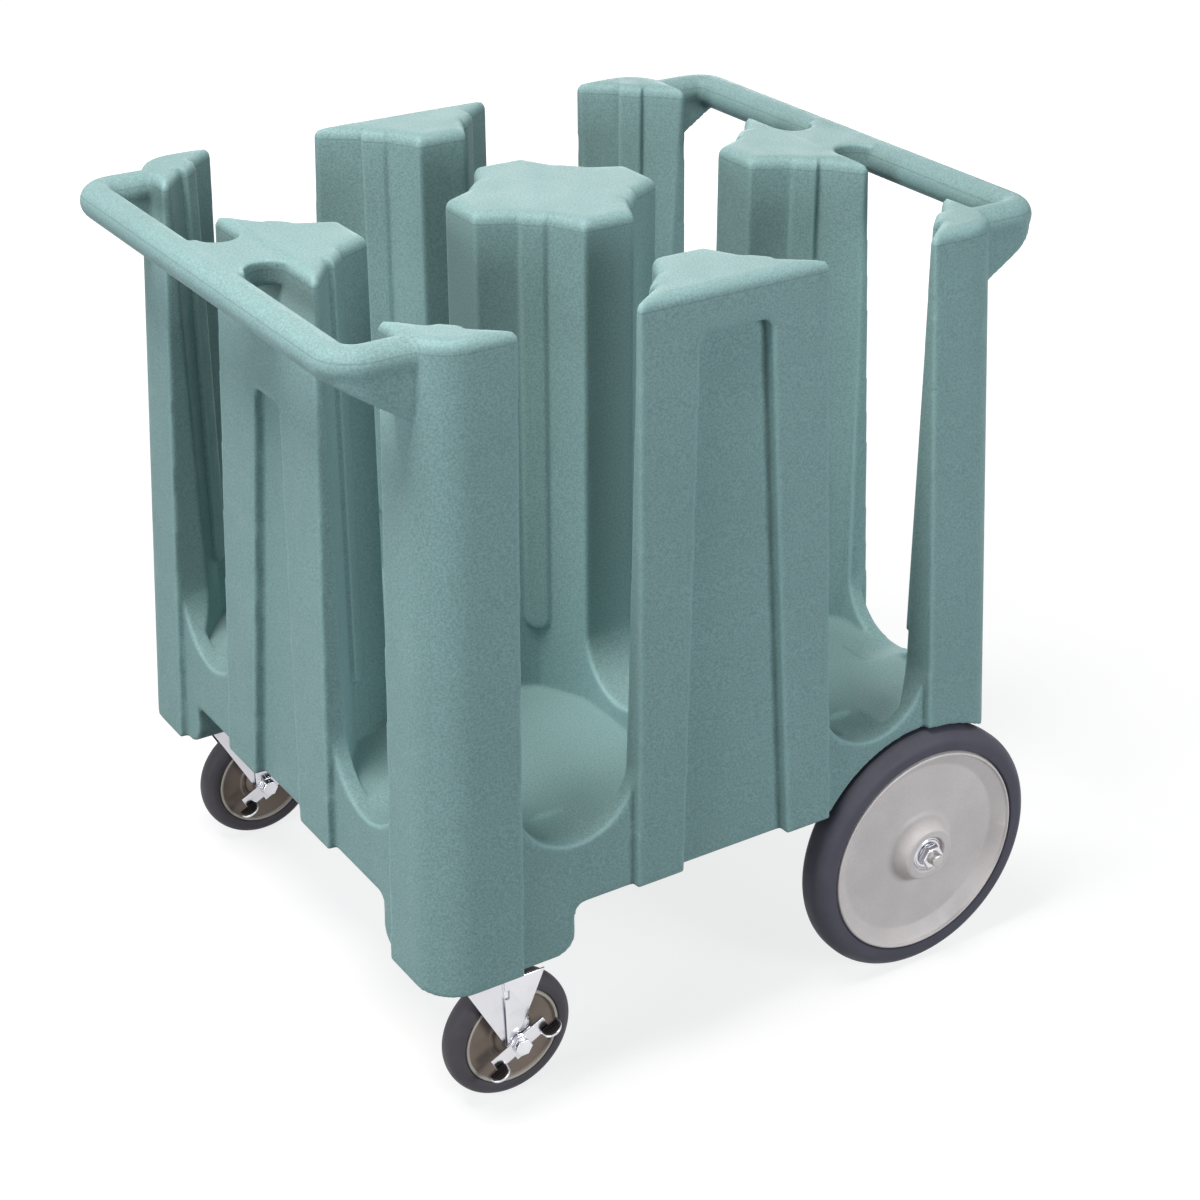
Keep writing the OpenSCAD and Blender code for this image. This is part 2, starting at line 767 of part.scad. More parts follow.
module caster_fork(s) {
    crown_z = fork_top_h - fork_crown_t;
    color("gainsboro") at_caster(s) difference() {
        union() {
            on_edge(-fork_out, -fork_in) fork_side_outline();
            on_edge(fork_in, fork_out) fork_side_outline();
            on_edge(-fork_out - fork_ridge_t, -fork_in - over) fork_ridge_outline();
            translate([-fork_half_l, -fork_in - over, crown_z])
                cube([2 * fork_half_l, 2 * (fork_in + over), fork_crown_t]);
            translate([0, 0, crown_z]) cylinder(r = race_cup_r, h = ball_z - race_gap_half - crown_z);
        }
        ball_groove();
        translate([0, 0, crown_z - over]) cylinder(r = kingpin_r + run_gap, h = caster_h - crown_z);
        translate([trail, -fork_out - fork_ridge_t - over, caster_r]) rotate([-90, 0, 0])
            cylinder(r = caster_bolt_r + seat_gap, h = 2 * (fork_out + fork_ridge_t + over));
    }
}

// Wheel bolt: its head keeps the brake lever on the outer side of the fork
module caster_axle(s) {
    head_y = lever_y + lever_t + face_gap;
    tail = fork_out + seat_gap + bolt_head_t + bolt_tip;
    color("silver") at_caster_wheel(s) {
        translate([0, 0, -tail]) cylinder(r = caster_bolt_r, h = tail + head_y + over);
        translate([0, 0, head_y]) cylinder(d = bolt_head_af / cos(30), h = bolt_head_t, $fn = 6);
    }
}

module caster_nut(s) {
    color("gainsboro") at_caster_wheel(s) translate([0, 0, -fork_out - seat_gap - bolt_head_t])
        hex_nut(caster_bolt_r + seat_gap, bolt_head_af, bolt_head_t);
}

module caster_spacer(s) {
    color("silver") at_caster_wheel(s) translate([0, 0, -fork_in + seat_gap])
        ring(caster_bolt_r + seat_gap, sleeve_r, 2 * (fork_in - seat_gap));
}

module caster_bearing(s) {
    color("dimgray") at_caster_wheel(s) translate([0, 0, -caster_hub_half])
        ring(sleeve_r + run_gap, caster_bearing_r - seat_gap, 2 * caster_hub_half);
}

module caster_tyre(s) {
    color("#4A4C50") at_caster_wheel(s) rotate_extrude($fn = slot_fn)
        tyre_profile(caster_rim_r + seat_gap, caster_r, caster_w, caster_shoulder_r);
}

module caster_rim(s) {
    half = caster_w / 2;
    face = half - caster_lip_recess;
    back = face - caster_disc_t;
    lip_r = caster_rim_r - caster_lip_w;
    foot_r = caster_hub_r + caster_lip_w;
    color("#8C7C6E") at_caster_wheel(s) difference() {
        rotate_extrude($fn = slot_fn) polygon([
            [caster_rim_r, -half], [caster_rim_r, half], [lip_r, half], [lip_r, face],
            [foot_r, face], [caster_hub_r, caster_hub_half], [caster_bearing_r - over, caster_hub_half],
            [caster_bearing_r - over, -caster_hub_half], [caster_hub_r, -caster_hub_half],
            [foot_r, back], [lip_r, back], [lip_r, -half]
        ]);
        translate([0, 0, -caster_hub_half - over])
            cylinder(r = caster_bearing_r, h = 2 * (caster_hub_half + over));
    }
}

// Stamped plate between the fork and the brake lever
module brake_plate(s) {
    top_z = brake_plate_h - caster_r;
    color("gainsboro") at_caster_wheel(s) translate([0, 0, brake_plate_y + seat_gap]) difference() {
        linear_extrude(brake_plate_t - seat_gap) {
            circle(r = brake_plate_eye_r);
            polygon([
                [-brake_plate_eye_r, 0], [brake_plate_eye_r, 0], [brake_plate_eye_r, brake_plate_bend_h],
                [brake_plate_reach, top_z], [-brake_plate_back, top_z]
            ]);
        }
        translate([-brake_plate_back - over, top_z - brake_notch_drop - brake_notch_h, -over])
            cube([brake_notch_w + over, brake_notch_h, brake_plate_t + 2 * over]);
        translate([0, 0, -over])
            cylinder(r = caster_bolt_r + seat_gap, h = brake_plate_t + 2 * over);
    }
}

// Rocking brake lever: a level bar with a tread shelf at each end. A shelf is drawn from z0 outwards.
module tread_plan(z0, margin) {
    round_z = tread_w - tread_l / 2;
    difference() {
        union() {
            translate([margin - tread_l / 2, 0]) square([tread_l - 2 * margin, round_z]);
            translate([0, round_z]) circle(r = tread_l / 2 - margin);
        }
        translate([-tread_l, z0 - tread_l]) square([2 * tread_l, tread_l]);
    }
}

// Lays an outline drawn in x and z flat, with its lower face at y0
module on_tread(y0, t) {
    translate([0, y0 + t, 0]) rotate([90, 0, 0]) linear_extrude(t) children();
}

module at_lever(s) {
    at_caster_wheel(s) translate([0, 0, lever_y]) rotate([0, 0, lever_tilt]) children();
}

module brake_lever(s) {
    color("gainsboro") at_lever(s) difference() {
        union() {
            cylinder(r = lever_boss_r, h = lever_t);
            translate([-tread_reach, -lever_w / 2, 0]) cube([2 * tread_reach, lever_w, lever_t]);
            translate([-lever_tab_l, -lever_w / 2 - lever_tab_w, 0])
                cube([lever_tab_l, lever_tab_w + over, lever_t]);
            for (e = [-1, 1]) translate([e * tread_reach, -lever_w / 2, 0])
                on_tread(0, tread_t) tread_plan(0, 0);
        }
        translate([0, 0, -over]) cylinder(r = caster_bolt_r + run_gap, h = lever_t + 2 * over);
    }
}

module pad_ribs_plan(z0) {
    intersection() {
        tread_plan(z0, 2 * pad_margin);
        for (k = [0 : pad_ribs - 1]) translate([-tread_l / 2, z0 + k * pad_rib_step])
            square([tread_l, pad_rib_w]);
    }
}

// Ribbed black pads on the treads
module brake_pads(s) {
    z0 = lever_t + seat_gap + pad_margin;
    color("#2A2624") at_lever(s) for (e = [-1, 1])
        translate([e * tread_reach, tread_t + seat_gap - lever_w / 2, 0]) {
            on_tread(0, pad_t) tread_plan(z0, pad_margin);
            on_tread(pad_t / 2, pad_t / 2 + pad_rib_t) pad_ribs_plan(z0 + pad_margin / 2);
        }
}

body_moulding();
rear_axle();
axle_bushes();
rear_rim(left);  // rear_rim_left
rear_tyre(left);  // rear_tyre_left
rear_bearing(left);  // rear_bearing_left
rear_washers(left);  // rear_washers_left
rear_nut(left);  // rear_nut_left
rear_rim(right);  // rear_rim_right
rear_tyre(right);  // rear_tyre_right
rear_bearing(right);  // rear_bearing_right
rear_washers(right);  // rear_washers_right
rear_nut(right);  // rear_nut_right
caster_plate(left);  // caster_plate_left
caster_screws(left);  // caster_screws_left
caster_kingpin(left);  // caster_kingpin_left
caster_balls(left);  // caster_balls_left
caster_fork(left);  // caster_fork_left
caster_axle(left);  // caster_axle_left
caster_nut(left);  // caster_nut_left
caster_spacer(left);  // caster_spacer_left
caster_rim(left);  // caster_rim_left
caster_tyre(left);  // caster_tyre_left
caster_bearing(left);  // caster_bearing_left
brake_plate(left);  // brake_plate_left
brake_lever(left);  // brake_lever_left
brake_pads(left);  // brake_pads_left
caster_plate(right);  // caster_plate_right
caster_screws(right);  // caster_screws_right
caster_kingpin(right);  // caster_kingpin_right
caster_balls(right);  // caster_balls_right
caster_fork(right);  // caster_fork_right
caster_axle(right);  // caster_axle_right
caster_nut(right);  // caster_nut_right
caster_spacer(right);  // caster_spacer_right
caster_rim(right);  // caster_rim_right
caster_tyre(right);  // caster_tyre_right
caster_bearing(right);  // caster_bearing_right
brake_plate(right);  // brake_plate_right
brake_lever(right);  // brake_lever_right
brake_pads(right);  // brake_pads_right
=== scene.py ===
"""Looks of the plate dispenser cart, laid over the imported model. Lengths are metres.

A wheel's outline is written in millimetres about its own middle, as (radius, height, fillet),
with the outer side of the wheel towards +height.
"""

import math

import bmesh
import bpy
from mathutils import Matrix, Vector


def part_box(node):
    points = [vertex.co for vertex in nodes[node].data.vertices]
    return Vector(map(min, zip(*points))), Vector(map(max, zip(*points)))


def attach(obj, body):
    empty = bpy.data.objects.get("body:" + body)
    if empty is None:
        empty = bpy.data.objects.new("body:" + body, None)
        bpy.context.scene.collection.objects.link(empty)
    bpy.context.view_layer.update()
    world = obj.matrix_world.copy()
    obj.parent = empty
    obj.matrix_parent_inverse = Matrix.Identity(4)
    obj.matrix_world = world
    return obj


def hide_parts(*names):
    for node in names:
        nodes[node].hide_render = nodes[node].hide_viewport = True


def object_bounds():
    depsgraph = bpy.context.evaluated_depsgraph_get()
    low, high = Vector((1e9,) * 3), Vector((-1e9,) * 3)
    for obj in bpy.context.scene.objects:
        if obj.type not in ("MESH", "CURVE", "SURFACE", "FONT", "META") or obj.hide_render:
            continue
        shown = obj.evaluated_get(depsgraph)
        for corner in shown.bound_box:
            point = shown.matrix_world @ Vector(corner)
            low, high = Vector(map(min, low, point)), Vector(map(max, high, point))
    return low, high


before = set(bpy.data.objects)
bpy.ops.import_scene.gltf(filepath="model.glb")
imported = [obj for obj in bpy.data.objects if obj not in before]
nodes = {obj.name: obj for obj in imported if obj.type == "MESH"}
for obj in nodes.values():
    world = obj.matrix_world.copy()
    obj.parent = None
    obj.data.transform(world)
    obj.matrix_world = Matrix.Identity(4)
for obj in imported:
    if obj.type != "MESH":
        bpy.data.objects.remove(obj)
cad_box = [list(corner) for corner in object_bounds()]

MM = 0.001
SIDES = {"left": 1, "right": -1}

# The photograph's camera: metres, degrees and millimetres
CAMERA_AT = (-1.0718, -1.7522, 1.3883)
CAMERA_AZIMUTH = 32.643
CAMERA_DOWN = 27.42
CAMERA_LENS = 72.02
SENSOR = 36.0

# Moulded body: halvings of its box that give the grid of the remeshed copy, and passes that soften its edges
BODY_HALVINGS = 8
BODY_PASSES = 6
# Share of the grid's box that the body fills, and share of the way to its neighbours that a point moves
GRID_FILL = 0.95
RELAX_SHARE = 0.5
# How far under the top the mould's parting line lies
PARTING_LINE_DROP = 10.5 * MM

# Faces round a wheel, round a caster's rim and round a washer, and along a fillet
WHEEL_STEPS = 128
CASTER_RIM_STEPS = 96
WASHER_STEPS = 64
FILLET_STEPS = 5
# Largest share of an edge that one fillet takes
FILLET_SHARE = 0.49

# Angles in degrees above which an edge stays sharp: on wheels, on washers and on other small parts
WHEEL_SHARP = 50
WASHER_SHARP = 40
PART_SHARP = 35

# Screen colours, set by comparing renders with the photograph; those of hidden parts are guessed
BODY_COLOUR = (141, 174, 174)
REAR_TYRE_COLOUR = (88, 87, 98)
REAR_RIM_COLOUR = (224, 216, 215)
CASTER_TYRE_COLOUR = (96, 92, 97)
CASTER_RIM_COLOUR = (136, 120, 109)
# Pale highlight painted on the caster rims' lips
CASTER_LIP_HIGHLIGHT_COLOUR = (205, 196, 186)
PLATING_COLOUR = (212, 212, 217)
TURNED_STEEL_COLOUR = (176, 174, 172)
NYLON_COLOUR = (46, 46, 50)
PAD_COLOUR = (38, 33, 30)

# Broken edges of pressed and machined parts: part, body, width of the break and its segments
PRESSED_PARTS = (
    ("caster_fork_", "caster_swivel_", 1.0 * MM, 3),
    ("brake_plate_", "caster_swivel_", 0.6 * MM, 2),
    ("caster_axle_", "caster_swivel_", 0.7 * MM, 3),
    ("caster_nut_", "caster_swivel_", 0.7 * MM, 3),
    ("brake_lever_", "brake_", 0.9 * MM, 3),
)
NUT_BREAK = 0.7 * MM
PAD_BREAK = 0.3 * MM
AXLE_BREAK = 1.6 * MM
# Edges that turn by more than this many degrees are broken
BREAK_ANGLE = 32

# Sockets of the mix node that carry colours
FIRST_COLOUR, SECOND_COLOUR, MIXED_COLOUR = 6, 7, 2

# Light and floor
AMBIENT = (0.04, 0.046, 0.05, 1)
WHITE = (1, 1, 1, 1)
FLOOR_BOUNCE = (0.12, 0.12, 0.12, 1)
FLOOR_COLOUR = (0.3, 0.3, 0.3, 1)
FLOOR_HALF = 12
# Glow of the floor seen directly, near the object and far off, and the distances between which it changes
GLOW_NEAR, GLOW_FAR = 0.78, 1.0
GLOW_START, GLOW_END = 0.9, 2.6
# Point that every lamp faces
AIM = (0, 0, 0.4)
WARM, COOL = (1.04, 1.0, 0.97), (0.95, 1.0, 1.03)
# Name, place, size in metres, power in watts and colour
LAMPS = (
    ("top_lamp", (-0.9, -0.15, 2.75), 1.0, 67, WARM),
    ("left_lamp", (-2.4, -0.4, 0.9), 1.0, 24, COOL),
    ("front_lamp", (0.9, -2.4, 0.9), 1.0, 29, COOL),
    ("back_lamp", (1.5, 2.1, 1.2), 1.4, 22, COOL),
)


# Meshes


def new_object(name, data):
    obj = bpy.data.objects.new(name, data)
    bpy.context.scene.collection.objects.link(obj)
    return obj


def finish_piece(obj, body, material, replaced, sharp=PART_SHARP):
    """Shades a piece, gives it its material, and lets it ride on its body for the nodes it replaces.

    With sharp at 0 every edge is shaded smooth.
    """
    mesh = obj.data
    mesh.shade_smooth()
    if sharp:
        mesh.set_sharp_from_angle(angle=math.radians(sharp))
    mesh.materials.clear()
    mesh.materials.append(material)
    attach(obj, body)
    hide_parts(*replaced)


def dress_node(node, material):
    """Gives a CAD node that stays a material of its own."""
    materials = nodes[node].data.materials
    materials.clear()
    materials.append(material)


def with_modifiers_applied(obj):
    """A new object with the modified mesh of obj, which goes."""
    graph = bpy.context.evaluated_depsgraph_get()
    mesh = bpy.data.meshes.new_from_object(obj.evaluated_get(graph))
    name = obj.name
    bpy.data.objects.remove(obj)
    return new_object(name, mesh)


def bevelled(node, name, width, segments):
    """A CAD node with its edges broken, as pressed or machined metal has them."""
    same_place, flat_angle = 0.01 * MM, math.radians(0.5)
    mesh = nodes[node].data.copy()
    work = bmesh.new()
    work.from_mesh(mesh)
    bmesh.ops.remove_doubles(work, verts=work.verts, dist=same_place)
    bmesh.ops.dissolve_limit(work, angle_limit=flat_angle, verts=work.verts, edges=work.edges)
    work.to_mesh(mesh)
    work.free()
    obj = new_object(name, mesh)
    bevel = obj.modifiers.new("edges", "BEVEL")
    bevel.width = width
    bevel.segments = segments
    bevel.limit_method = "ANGLE"
    bevel.angle_limit = math.radians(BREAK_ANGLE)
    bevel.use_clamp_overlap = True
    return with_modifiers_applied(obj)


def softened(node, name, halvings, passes):
    """A CAD node remeshed on a fine grid and relaxed, so that its edges turn as a moulding's do."""
    obj = new_object(name, nodes[node].data.copy())
    remesh = obj.modifiers.new("grid", "REMESH")
    remesh.mode = "SHARP"
    remesh.octree_depth = halvings
    remesh.scale = GRID_FILL
    relax = obj.modifiers.new("relax", "SMOOTH")
    relax.factor = RELAX_SHARE
    relax.iterations = passes
    return with_modifiers_applied(obj)


def mirrored(points, crown=()):
    """Outline of a tyre from its outer side, with the crown of the tread between the two sides."""
    return [(r, -z, fillet) for r, z, fillet in points] + list(crown) + points[::-1]


def filleted(points):
    """Outline of (radius, height, fillet) points with each corner rounded by its fillet."""
    out = []
    for k, (r, z, fillet) in enumerate(points):
        here = Vector((r, z))
        if fillet <= 0 or k in (0, len(points) - 1):
            out.append(here)
            continue
        back = Vector(points[k - 1][:2]) - here
        ahead = Vector(points[k + 1][:2]) - here
        reach = min(fillet, FILLET_SHARE * back.length, FILLET_SHARE * ahead.length)
        start, end = here + back.normalized() * reach, here + ahead.normalized() * reach
        for step in range(FILLET_STEPS + 1):
            t = step / FILLET_STEPS
            out.append(start * (1 - t) ** 2 + here * 2 * t * (1 - t) + end * t ** 2)
    return out


def lathe(name, outlines, centre, sign, steps=WHEEL_STEPS):
    """Turns closed outlines about a level axis through centre, whose outer side is at sign * Y."""
    turn = Vector((0, 0, 1)).rotation_difference(Vector((0, sign, 0))).to_matrix().to_4x4()
    place = Matrix.Translation(centre) @ turn
    work = bmesh.new()
    for points in outlines:
        rings = []
        for r, z in filleted([(r * MM, z * MM, fillet * MM) for r, z, fillet in points]):
            rings.append([
                work.verts.new(place @ Vector((
                    r * math.cos(math.tau * k / steps), r * math.sin(math.tau * k / steps), z)))
                for k in range(steps)
            ])
        for low, high in zip(rings, rings[1:] + rings[:1]):
            for k in range(steps):
                n = (k + 1) % steps
                work.faces.new([low[k], low[n], high[n], high[k]])
    bmesh.ops.recalc_face_normals(work, faces=work.faces)
    mesh = bpy.data.meshes.new(name)
    work.to_mesh(mesh)
    work.free()
    return new_object(name, mesh)


# Materials


def colour_mix(tree, share, first, second):
    """Mix of two colours, each a colour or an output."""
    node = tree.nodes.new("ShaderNodeMix")
    node.data_type = "RGBA"
    tree.links.new(share, node.inputs["Factor"])
    for number, colour in ((FIRST_COLOUR, first), (SECOND_COLOUR, second)):
        if isinstance(colour, tuple):
            node.inputs[number].default_value = (*colour[:3], 1)
        else:
            tree.links.new(colour, node.inputs[number])
    return node.outputs[MIXED_COLOUR]


class Shader:
    """Small helper that wires one node material."""

    def __init__(self, name):
        self.material = bpy.data.materials.new(name)
        self.material.use_nodes = True
        self.tree = self.material.node_tree
        self.bsdf = self.tree.nodes["Principled BSDF"]
        self.place = self.add("ShaderNodeTexCoord").outputs["Object"]

    def add(self, kind, **settings):
        node = self.tree.nodes.new(kind)
        for key, value in settings.items():
            setattr(node, key, value)
        return node

    def link(self, source, target):
        self.tree.links.new(source, target)

    def surface(self, name, value):
        """Gives an input of the surface an output, a number or a colour."""
        if isinstance(value, bpy.types.NodeSocket):
            self.link(value, self.bsdf.inputs[name])
        else:
            self.bsdf.inputs[name].default_value = value

    def noise(self, scale, detail=3, roughness=0.55, where=None):
        node = self.add("ShaderNodeTexNoise")
        node.inputs["Scale"].default_value = scale
        node.inputs["Detail"].default_value = detail
        node.inputs["Roughness"].default_value = roughness
        self.link(where or self.place, node.inputs["Vector"])
        return node.outputs["Fac"]

    def spread(self, value, low=0.3, high=0.7, to_low=0.0, to_high=1.0):
        """Maps low..high of a value to a new range, clamped."""
        node = self.add("ShaderNodeMapRange")
        self.link(value, node.inputs["Value"])
        ends = {"From Min": low, "From Max": high, "To Min": to_low, "To Max": to_high}
        for key, number in ends.items():
            node.inputs[key].default_value = number
        return node.outputs["Result"]

    def mix(self, share, first, second):
        return colour_mix(self.tree, share, first, second)

    def tint(self, colour, other, share, strength):
        """The colour with another laid over it, where a share of 1 lays it on at the strength."""
        return self.mix(self.math("MULTIPLY", share, strength), colour, other)

    def math(self, operation, first, second=0.0):
        node = self.add("ShaderNodeMath", operation=operation)
        for socket, value in zip(node.inputs, (first, second)):
            if isinstance(value, (int, float)):
                socket.default_value = value
            else:
                self.link(value, socket)
        return node.outputs[0]

    def bump(self, height, distance, strength, below=None):
        node = self.add("ShaderNodeBump")
        node.inputs["Strength"].default_value = strength
        node.inputs["Distance"].default_value = distance
        self.link(height, node.inputs["Height"])
        if below:
            self.link(below, node.inputs["Normal"])
        return node.outputs["Normal"]

    def edges(self, low, high):
        """Share at edges: convex ones lie above 0.5 and concave ones below."""
        return self.spread(self.add("ShaderNodeNewGeometry").outputs["Pointiness"], low, high)

    def coordinate(self, axis):
        split = self.add("ShaderNodeSeparateXYZ")
        self.link(self.place, split.inputs[0])
        return split.outputs[axis]

    def radius(self, centre):
        """Distance from the level axis through centre."""
        x = self.math("SUBTRACT", self.coordinate("X"), centre.x)
        z = self.math("SUBTRACT", self.coordinate("Z"), centre.z)
        squares = self.math("ADD", self.math("MULTIPLY", x, x), self.math("MULTIPLY", z, z))
        return self.math("SQRT", squares)


def srgb(r, g, b):
    """Linear colour of an 8-bit screen colour."""
    out = []
    for value in (r, g, b):
        value /= 255
        out.append(value / 12.92 if value <= 0.04045 else ((value + 0.055) / 1.055) ** 2.4)
    return tuple(out)


def scaled(colour, factor):
    return tuple(min(1.0, c * factor) for c in colour)


def moulded_plastic(top_z):
    """Matt polyethylene with a fine pebble, cloudy colour, scuffs, the mould's parting line, painted
    highlights on convex edges and painted shade in creases.
    """
    line_core, line_edge = 0.2 * MM, 0.9 * MM
    pebble_height, wave_height = 0.3 * MM, 1.2 * MM
    s = Shader("moulded_polyethylene")
    base = srgb(*BODY_COLOUR)
    grain = s.noise(scale=560, detail=2, roughness=0.6)
    clouds = s.spread(s.noise(scale=5, detail=4))
    off_line = s.math("ABSOLUTE", s.math("SUBTRACT", s.coordinate("Z"), top_z - PARTING_LINE_DROP))
    line = s.spread(off_line, line_core, line_edge, to_low=1, to_high=0)

    dull, fresh, pitted = scaled(base, 0.93), scaled(base, 1.05), scaled(base, 0.7)
    painted_edge_highlight, painted_crease_shade, parting = scaled(base, 1.35), scaled(base, 0.5), scaled(base, 0.45)
    mixed = s.mix(clouds, dull, fresh)
    mixed = s.tint(mixed, pitted, s.spread(grain, 0.36, 0.64), strength=0.85)
    # Painted highlight along convex edges
    mixed = s.tint(mixed, painted_edge_highlight, s.edges(0.51, 0.56), strength=0.4)
    # Painted shade in creases and along concave edges
    mixed = s.tint(mixed, painted_crease_shade, s.edges(0.49, 0.44), strength=0.5)
    mixed = s.tint(mixed, parting, line, strength=0.4)
    s.surface("Base Color", mixed)

    scuffs = s.noise(scale=38, detail=6, roughness=0.7)
    s.surface("Roughness", s.spread(scuffs, 0.35, 0.75, to_low=0.46, to_high=0.66))
    s.surface("Specular IOR Level", 0.12)
    pebble = s.bump(grain, pebble_height, strength=0.7)
    s.surface("Normal", s.bump(s.noise(scale=26, detail=2), wave_height, strength=0.25, below=pebble))
    return s.material


def rubber(name, colour, grain=900):
    """Rubber with a fine tooth, dusty places and painted highlights on convex edges."""
    tooth_height = 0.12 * MM
    s = Shader(name)
    base = srgb(*colour)
    dust = s.spread(s.noise(scale=30, detail=5, roughness=0.65), 0.35, 0.75)

    clean, dusty, painted_rubber_highlight = scaled(base, 0.88), scaled(base, 1.15), scaled(base, 1.6)
    mixed = s.mix(dust, clean, dusty)
    # Painted highlight along convex edges
    mixed = s.tint(mixed, painted_rubber_highlight, s.edges(0.52, 0.6), strength=0.4)
    s.surface("Base Color", mixed)

    s.surface("Roughness", s.spread(s.noise(scale=60, detail=4), to_low=0.45, to_high=0.65))
    s.surface("Specular IOR Level", 0.15)
    s.surface("Normal", s.bump(s.noise(grain, detail=3, roughness=0.6), tooth_height, strength=0.4))
    return s.material


def rim_finish(name, colour, lip=None):
    """Cast or moulded wheel rim with a fine orange peel and painted highlights on convex edges. A lip is
    (colour, centre, radius) of a pale highlight painted beyond that radius.
    """
    peel_height, lip_blend = 0.12 * MM, 0.3 * MM
    s = Shader(name)
    base = srgb(*colour)
    peel = s.noise(scale=700, detail=2)
    clouds = s.spread(s.noise(scale=24, detail=4))

    dull, fresh = scaled(base, 0.93), scaled(base, 1.06)
    pitted, painted_edge_highlight = scaled(base, 0.75), scaled(base, 1.25)
    mixed = s.mix(clouds, dull, fresh)
    mixed = s.tint(mixed, pitted, s.spread(peel, 0.45, 0.7), strength=0.3)
    # Painted highlight along convex edges
    mixed = s.tint(mixed, painted_edge_highlight, s.edges(0.52, 0.6), strength=0.5)
    # Painted highlight: a pale band on the lip, beyond its radius
    if lip:
        lip_highlight_colour, centre, lip_r = lip
        mixed = s.mix(s.spread(s.radius(centre), lip_r - lip_blend, lip_r), mixed, srgb(*lip_highlight_colour))
    s.surface("Base Color", mixed)

    s.surface("Roughness", s.spread(s.noise(scale=80, detail=4), to_low=0.38, to_high=0.55))
    s.surface("Normal", s.bump(peel, peel_height, strength=0.35))
    return s.material


def steel(name, colour, smoothest, roughest, brush):
    """Plated or turned steel: cloudy roughness, hairlines, a little staining and painted highlights on
    convex edges.
    """
    hair_height, hair_stretch = 0.02 * MM, (60, 60, 1400)
    s = Shader(name)
    base = srgb(*colour)
    stain = s.spread(s.noise(scale=55, detail=5, roughness=0.65), 0.5, 0.78)

    stained, painted_metal_highlight = scaled(base, 0.6), scaled(base, 1.25)
    mixed = s.tint(base, stained, stain, strength=0.3)
    # Painted highlight along convex edges
    mixed = s.tint(mixed, painted_metal_highlight, s.edges(0.52, 0.62), strength=0.5)
    s.surface("Base Color", mixed)

    s.surface("Metallic", 1.0)
    s.surface("Roughness", s.spread(s.noise(scale=90, detail=5), to_low=smoothest, to_high=roughest))
    stretch = s.add("ShaderNodeMapping")
    stretch.inputs["Scale"].default_value = hair_stretch
    s.link(s.place, stretch.inputs["Vector"])
    hairs = s.noise(scale=1, detail=2, where=stretch.outputs[0])
    s.surface("Normal", s.bump(hairs, hair_height, strength=brush))
    return s.material


# Pieces


def middle(node):
    low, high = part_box(node)
    return (Vector(low) + Vector(high)) / 2


def half_sizes(node):
    """Radius and half width of a wheel's node, in millimetres."""
    low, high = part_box(node)
    return (high[2] - low[2]) / 2 / MM, (high[1] - low[1]) / 2 / MM


def reach_out(node, centre, sign):
    """How far a node reaches from a wheel's middle to its outer and to its inner side, in millimetres."""
    low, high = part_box(node)
    sides = (high[1] - centre.y) / MM, (centre.y - low[1]) / MM
    return sides if sign > 0 else sides[::-1]


def rear_tyre(side, sign):
    """Tyre with rounded shoulders and a groove against the rim."""
    node = "rear_tyre_" + side
    outer, half = half_sizes(node)
    rim_r, _ = half_sizes("rear_rim_" + side)
    groove, shoulder = 4, 9
    outline = mirrored([
        (rim_r, half - groove, 0), (rim_r + 1.4, half - 0.6, 1),
        (outer - shoulder, half, 5), (outer, half - shoulder, 8),
    ])
    piece = lathe("tyre_rear_" + side, [outline], middle(node), sign)
    finish_piece(piece, "rear_wheel_" + side, rear_tyre_look, [node], WHEEL_SHARP)


def rear_rim(side, sign):
    """Dished rim with a raised lip, and a hub with a recess for the nut."""
    node, tyre = "rear_rim_" + side, "rear_tyre_" + side
    centre = middle(tyre)
    _, half = half_sizes(tyre)
    rim_r, _ = half_sizes(node)
    hub_out, hub_in = reach_out(node, centre, sign)
    groove, dish_depth, disc_thickness, recess_depth = 4, 11, 7, 5
    lip, disc = rim_r - 3.5, rim_r - 17
    foot_r, hub_r, recess_r, bore = 38, 25, 18, 15
    face, seat = half - dish_depth, hub_out - recess_depth
    back = face - disc_thickness

    edge = [
        (rim_r, groove - half, 0), (rim_r, half - groove, 0),
        (rim_r - 1.2, half - 0.6, 0.8), (rim_r - 2, half, 0.5),
    ]
    dish = [(lip + 0.5, half, 0.5), (lip - 0.5, half - 2.5, 0.8), (disc, face, 1.6)]
    hub = [
        (foot_r, face, 2), (foot_r - 4, face + 2, 2), (hub_r + 4, hub_out - 5, 2),
        (hub_r + 2, hub_out - 1, 0.6), (hub_r, hub_out, 0.5),
    ]
    recess = [
        (recess_r + 1, hub_out, 0.8), (recess_r, hub_out - 1, 0.4), (recess_r, seat, 0.3), (bore, seat, 0),
    ]
    hub_back = [(bore, -hub_in, 0), (hub_r - 3, -hub_in, 2), (hub_r, 4 - hub_in, 4), (hub_r + 8, back, 6)]
    rim_back = [
        (disc, back, 3), (lip - 4, back - 5, 3), (lip, back - 8, 2),
        (lip, -half, 0.6), (rim_r - 2, -half, 0.5),
    ]
    piece = lathe("rim_rear_" + side, [edge + dish + hub + recess + hub_back + rim_back], centre, sign)
    finish_piece(piece, "rear_wheel_" + side, rear_rim_look, [node], WHEEL_SHARP)


